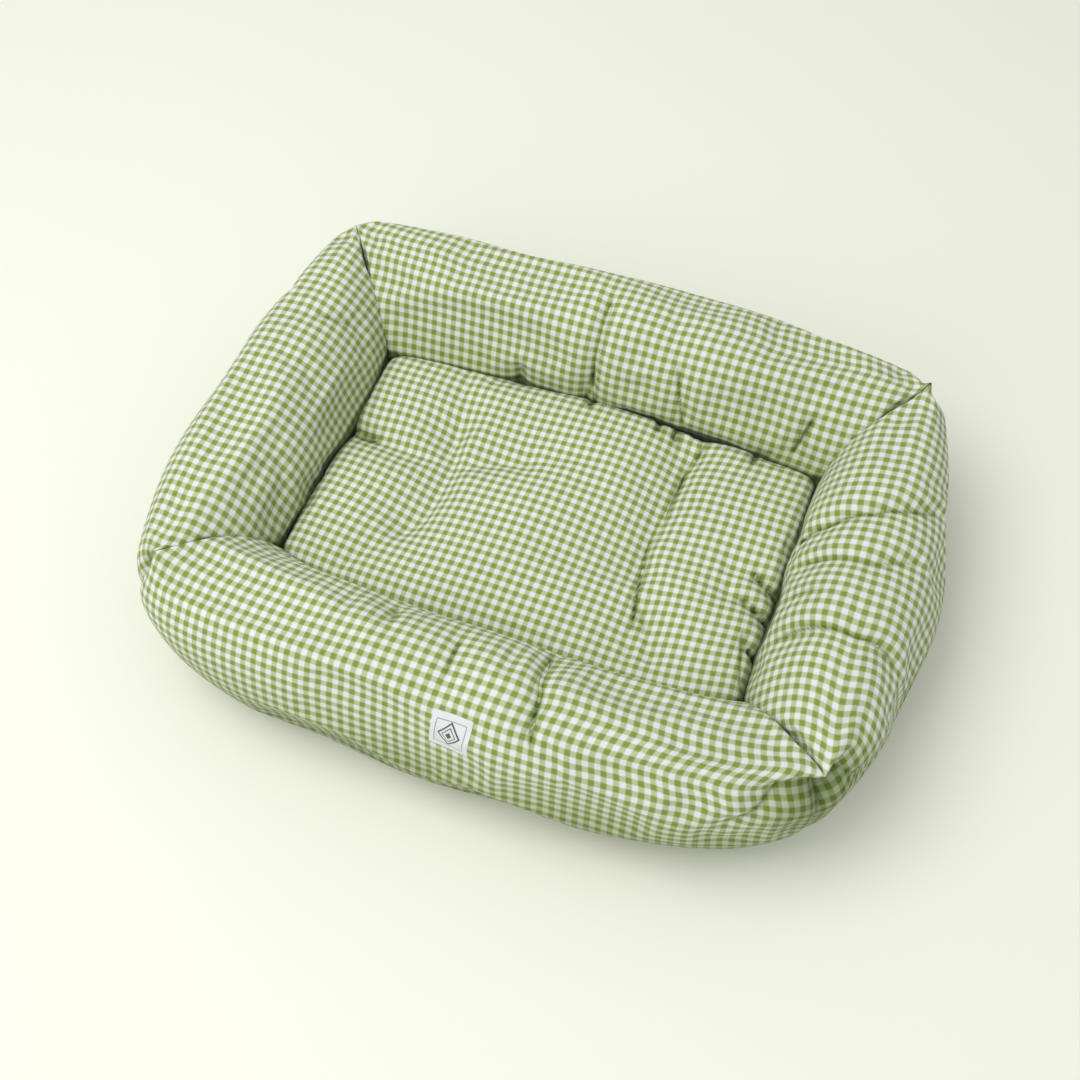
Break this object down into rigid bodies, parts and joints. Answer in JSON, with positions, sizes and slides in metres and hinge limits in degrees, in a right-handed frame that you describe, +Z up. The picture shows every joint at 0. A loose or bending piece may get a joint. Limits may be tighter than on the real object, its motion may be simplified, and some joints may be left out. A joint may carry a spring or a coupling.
{
  "type": "pet cushion bed",
  "caption": "Rectangular bolster bed for a small pet in gingham cotton, with stuffed walls pinched at the corners round a lift-out stuffed cushion.",
  "frame": {"origin": "middle of the bed's footprint, on the floor it stands on", "axes": "+X along the long front and back walls, +Y from the labelled front wall to the back wall, +Z up"},
  "size_m": [0.7128, 0.5488, 0.162],
  "materials": {
    "gingham_cover": "matte",
    "gingham_cushion": "matte",
    "fibre_fill": "matte",
    "lining": "matte",
    "grip_cloth": "matte",
    "woven_label": "matte",
    "zip_tape": "matte",
    "zip_coil": "satin",
    "zip_metal": "satin"
  },
  "bodies": {
    "bed": {"front_wall_cover": "gingham_cover", "back_wall_cover": "gingham_cover", "left_wall_cover": "gingham_cover", "right_wall_cover": "gingham_cover", "front_wall_fill": "fibre_fill", "back_wall_fill": "fibre_fill", "left_wall_fill": "fibre_fill", "right_wall_fill": "fibre_fill", "floor_panel": "lining", "base_panel": "grip_cloth", "maker_label": "woven_label"},
    "cushion": {"cushion_top_cover": "gingham_cushion", "cushion_bottom_cover": "gingham_cushion", "cushion_zip_strip": "gingham_cushion", "cushion_fill": "fibre_fill", "zip_outer_tape": "zip_tape", "zip_inner_tape": "zip_tape", "zip_outer_coil": "zip_coil", "zip_inner_coil": "zip_coil", "zip_front_stop": "zip_metal", "zip_back_stop": "zip_metal"},
    "slider": {"zip_slider": "zip_metal"},
    "pull": {"zip_pull": "zip_metal"}
  },
  "joints": [
    {"name": "cushion_lift", "type": "slide", "parent": "bed", "child": "cushion", "axis": [0, 0, 1], "range_m": [0, 0.25]},
    {"name": "zip_travel", "type": "slide", "parent": "cushion", "child": "slider", "axis": [0, 1, 0], "range_m": [0, 0.158]},
    {"name": "zip_pull_flip", "type": "hinge", "parent": "slider", "child": "pull", "pos_m": [-0.20201, -0.07902, 0.01584], "axis": [-0.8615, 0, 0.5077], "range_deg": [0, 175]}
  ]
}
